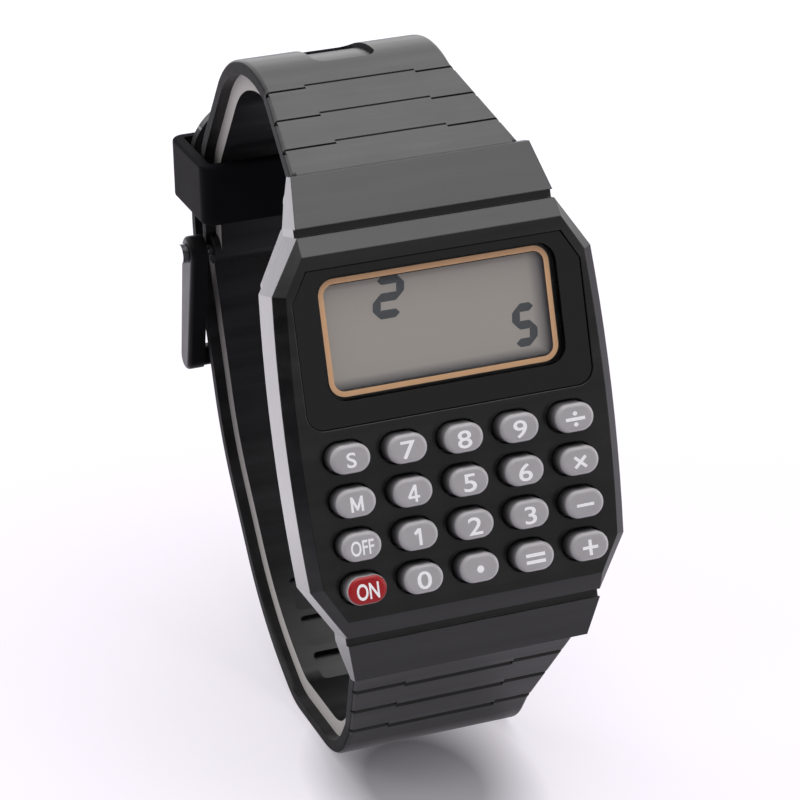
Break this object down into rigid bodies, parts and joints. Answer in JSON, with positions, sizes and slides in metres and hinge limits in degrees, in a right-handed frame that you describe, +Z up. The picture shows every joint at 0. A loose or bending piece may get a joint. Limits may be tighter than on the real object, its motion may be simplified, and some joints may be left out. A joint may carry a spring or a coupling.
{
  "type": "calculator wrist watch",
  "caption": "Digital wrist watch with a keypad calculator under its display, on a buckled resin strap, standing upright on the strap's lower curve.",
  "frame": {"origin": "middle of the flat foot of the buckled strap, where the standing watch touches the table", "axes": "+Z up, +X towards the 3 o'clock side, the dial faces -Y and leans back by 17 degrees"},
  "size_m": [0.0328, 0.0567, 0.0664],
  "materials": {
    "case": "polished black moulded resin",
    "lens": "dark mineral glass, black printed round the window",
    "crystal_glass": "grey-green liquid crystal cell",
    "reflector": "matt reflector foil",
    "contact_rubber": "moulded rubber",
    "inner_plastic": "moulded plastic",
    "small_steel": "turned steel",
    "spring_steel": "spring steel strip",
    "board": "green laminate",
    "resin": "cast resin",
    "back_steel": "brushed stainless steel",
    "buckle_steel": "steel with a gloss black lacquer",
    "strap": "black moulded resin with a soft shine",
    "key_rubber": "grey silicone rubber",
    "key_rubber_red": "red silicone rubber"
  },
  "bodies": {
    "case": {"case_front": "case", "display_lens": "lens", "lcd_panel": "crystal_glass", "lcd_reflector": "reflector", "zebra_strips": "contact_rubber", "module_frame": "inner_plastic", "module_screws": "small_steel", "keypad_mat": "contact_rubber", "circuit_board": "board", "chip_blob": "resin", "quartz_crystal": "small_steel", "battery": "small_steel", "battery_clip": "spring_steel", "battery_contact": "spring_steel", "case_gasket": "contact_rubber", "case_back": "back_steel", "case_screws": "small_steel", "spring_bar_top": "small_steel", "spring_bar_bottom": "small_steel"},
    "key_s_body": {"key_s": "key_rubber"},
    "key_7_body": {"key_7": "key_rubber"},
    "key_8_body": {"key_8": "key_rubber"},
    "key_9_body": {"key_9": "key_rubber"},
    "key_divide_body": {"key_divide": "key_rubber"},
    "key_m_body": {"key_m": "key_rubber"},
    "key_4_body": {"key_4": "key_rubber"},
    "key_5_body": {"key_5": "key_rubber"},
    "key_6_body": {"key_6": "key_rubber"},
    "key_multiply_body": {"key_multiply": "key_rubber"},
    "key_off_body": {"key_off": "key_rubber"},
    "key_1_body": {"key_1": "key_rubber"},
    "key_2_body": {"key_2": "key_rubber"},
    "key_3_body": {"key_3": "key_rubber"},
    "key_minus_body": {"key_minus": "key_rubber"},
    "key_on_body": {"key_on": "key_rubber_red"},
    "key_0_body": {"key_0": "key_rubber"},
    "key_point_body": {"key_point": "key_rubber"},
    "key_equals_body": {"key_equals": "key_rubber"},
    "key_plus_body": {"key_plus": "key_rubber"},
    "upper_strap": {"strap_upper": "strap", "buckle_pin": "small_steel"},
    "lower_strap": {"strap_lower": "strap"},
    "buckle": {"buckle_frame": "buckle_steel"},
    "tongue": {"buckle_tongue": "buckle_steel"},
    "keeper": {"strap_keeper": "strap"}
  },
  "joints": [
    {"name": "key_s_press", "type": "slide", "parent": "case", "child": "key_s_body", "axis": [0, 0.9568, -0.2908], "range_m": [0, 0.00045], "stiffness_N_per_m": 1000},
    {"name": "key_7_press", "type": "slide", "parent": "case", "child": "key_7_body", "axis": [0, 0.9568, -0.2908], "range_m": [0, 0.00045], "stiffness_N_per_m": 1000},
    {"name": "key_8_press", "type": "slide", "parent": "case", "child": "key_8_body", "axis": [0, 0.9568, -0.2908], "range_m": [0, 0.00045], "stiffness_N_per_m": 1000},
    {"name": "key_9_press", "type": "slide", "parent": "case", "child": "key_9_body", "axis": [0, 0.9568, -0.2908], "range_m": [0, 0.00045], "stiffness_N_per_m": 1000},
    {"name": "key_divide_press", "type": "slide", "parent": "case", "child": "key_divide_body", "axis": [0, 0.9568, -0.2908], "range_m": [0, 0.00045], "stiffness_N_per_m": 1000},
    {"name": "key_m_press", "type": "slide", "parent": "case", "child": "key_m_body", "axis": [0, 0.9568, -0.2908], "range_m": [0, 0.00045], "stiffness_N_per_m": 1000},
    {"name": "key_4_press", "type": "slide", "parent": "case", "child": "key_4_body", "axis": [0, 0.9568, -0.2908], "range_m": [0, 0.00045], "stiffness_N_per_m": 1000},
    {"name": "key_5_press", "type": "slide", "parent": "case", "child": "key_5_body", "axis": [0, 0.9568, -0.2908], "range_m": [0, 0.00045], "stiffness_N_per_m": 1000},
    {"name": "key_6_press", "type": "slide", "parent": "case", "child": "key_6_body", "axis": [0, 0.9568, -0.2908], "range_m": [0, 0.00045], "stiffness_N_per_m": 1000},
    {"name": "key_multiply_press", "type": "slide", "parent": "case", "child": "key_multiply_body", "axis": [0, 0.9568, -0.2908], "range_m": [0, 0.00045], "stiffness_N_per_m": 1000},
    {"name": "key_off_press", "type": "slide", "parent": "case", "child": "key_off_body", "axis": [0, 0.9568, -0.2908], "range_m": [0, 0.00045], "stiffness_N_per_m": 1000},
    {"name": "key_1_press", "type": "slide", "parent": "case", "child": "key_1_body", "axis": [0, 0.9568, -0.2908], "range_m": [0, 0.00045], "stiffness_N_per_m": 1000},
    {"name": "key_2_press", "type": "slide", "parent": "case", "child": "key_2_body", "axis": [0, 0.9568, -0.2908], "range_m": [0, 0.00045], "stiffness_N_per_m": 1000},
    {"name": "key_3_press", "type": "slide", "parent": "case", "child": "key_3_body", "axis": [0, 0.9568, -0.2908], "range_m": [0, 0.00045], "stiffness_N_per_m": 1000},
    {"name": "key_minus_press", "type": "slide", "parent": "case", "child": "key_minus_body", "axis": [0, 0.9568, -0.2908], "range_m": [0, 0.00045], "stiffness_N_per_m": 1000},
    {"name": "key_on_press", "type": "slide", "parent": "case", "child": "key_on_body", "axis": [0, 0.9568, -0.2908], "range_m": [0, 0.00045], "stiffness_N_per_m": 1000},
    {"name": "key_0_press", "type": "slide", "parent": "case", "child": "key_0_body", "axis": [0, 0.9568, -0.2908], "range_m": [0, 0.00045], "stiffness_N_per_m": 1000},
    {"name": "key_point_press", "type": "slide", "parent": "case", "child": "key_point_body", "axis": [0, 0.9568, -0.2908], "range_m": [0, 0.00045], "stiffness_N_per_m": 1000},
    {"name": "key_equals_press", "type": "slide", "parent": "case", "child": "key_equals_body", "axis": [0, 0.9568, -0.2908], "range_m": [0, 0.00045], "stiffness_N_per_m": 1000},
    {"name": "key_plus_press", "type": "slide", "parent": "case", "child": "key_plus_body", "axis": [0, 0.9568, -0.2908], "range_m": [0, 0.00045], "stiffness_N_per_m": 1000},
    {"name": "upper_strap_hinge", "type": "hinge", "parent": "case", "child": "upper_strap", "pos_m": [0, -0.00492, 0.05847], "axis": [1, 0, 0], "range_deg": [-0.3, 0.3]},
    {"name": "lower_strap_hinge", "type": "hinge", "parent": "case", "child": "lower_strap", "pos_m": [0, -0.01713, 0.01829], "axis": [1, 0, 0], "range_deg": [-0.3, 0.3]},
    {"name": "buckle_hinge", "type": "hinge", "parent": "upper_strap", "child": "buckle", "pos_m": [0, 0.02799, 0.04154], "axis": [1, 0, 0], "range_deg": [0, 3]},
    {"name": "tongue_hinge", "type": "hinge", "parent": "upper_strap", "child": "tongue", "pos_m": [0, 0.02799, 0.04154], "axis": [1, 0, 0], "range_deg": [0, 3]},
    {"name": "keeper_slide", "type": "slide", "parent": "upper_strap", "child": "keeper", "axis": [0, -0.0056, -1], "range_m": [-0.0003, 0.0012]}
  ],
  "couplings": [
    {"joint": "tongue_hinge", "follows": "buckle_hinge", "ratio": 1}
  ]
}
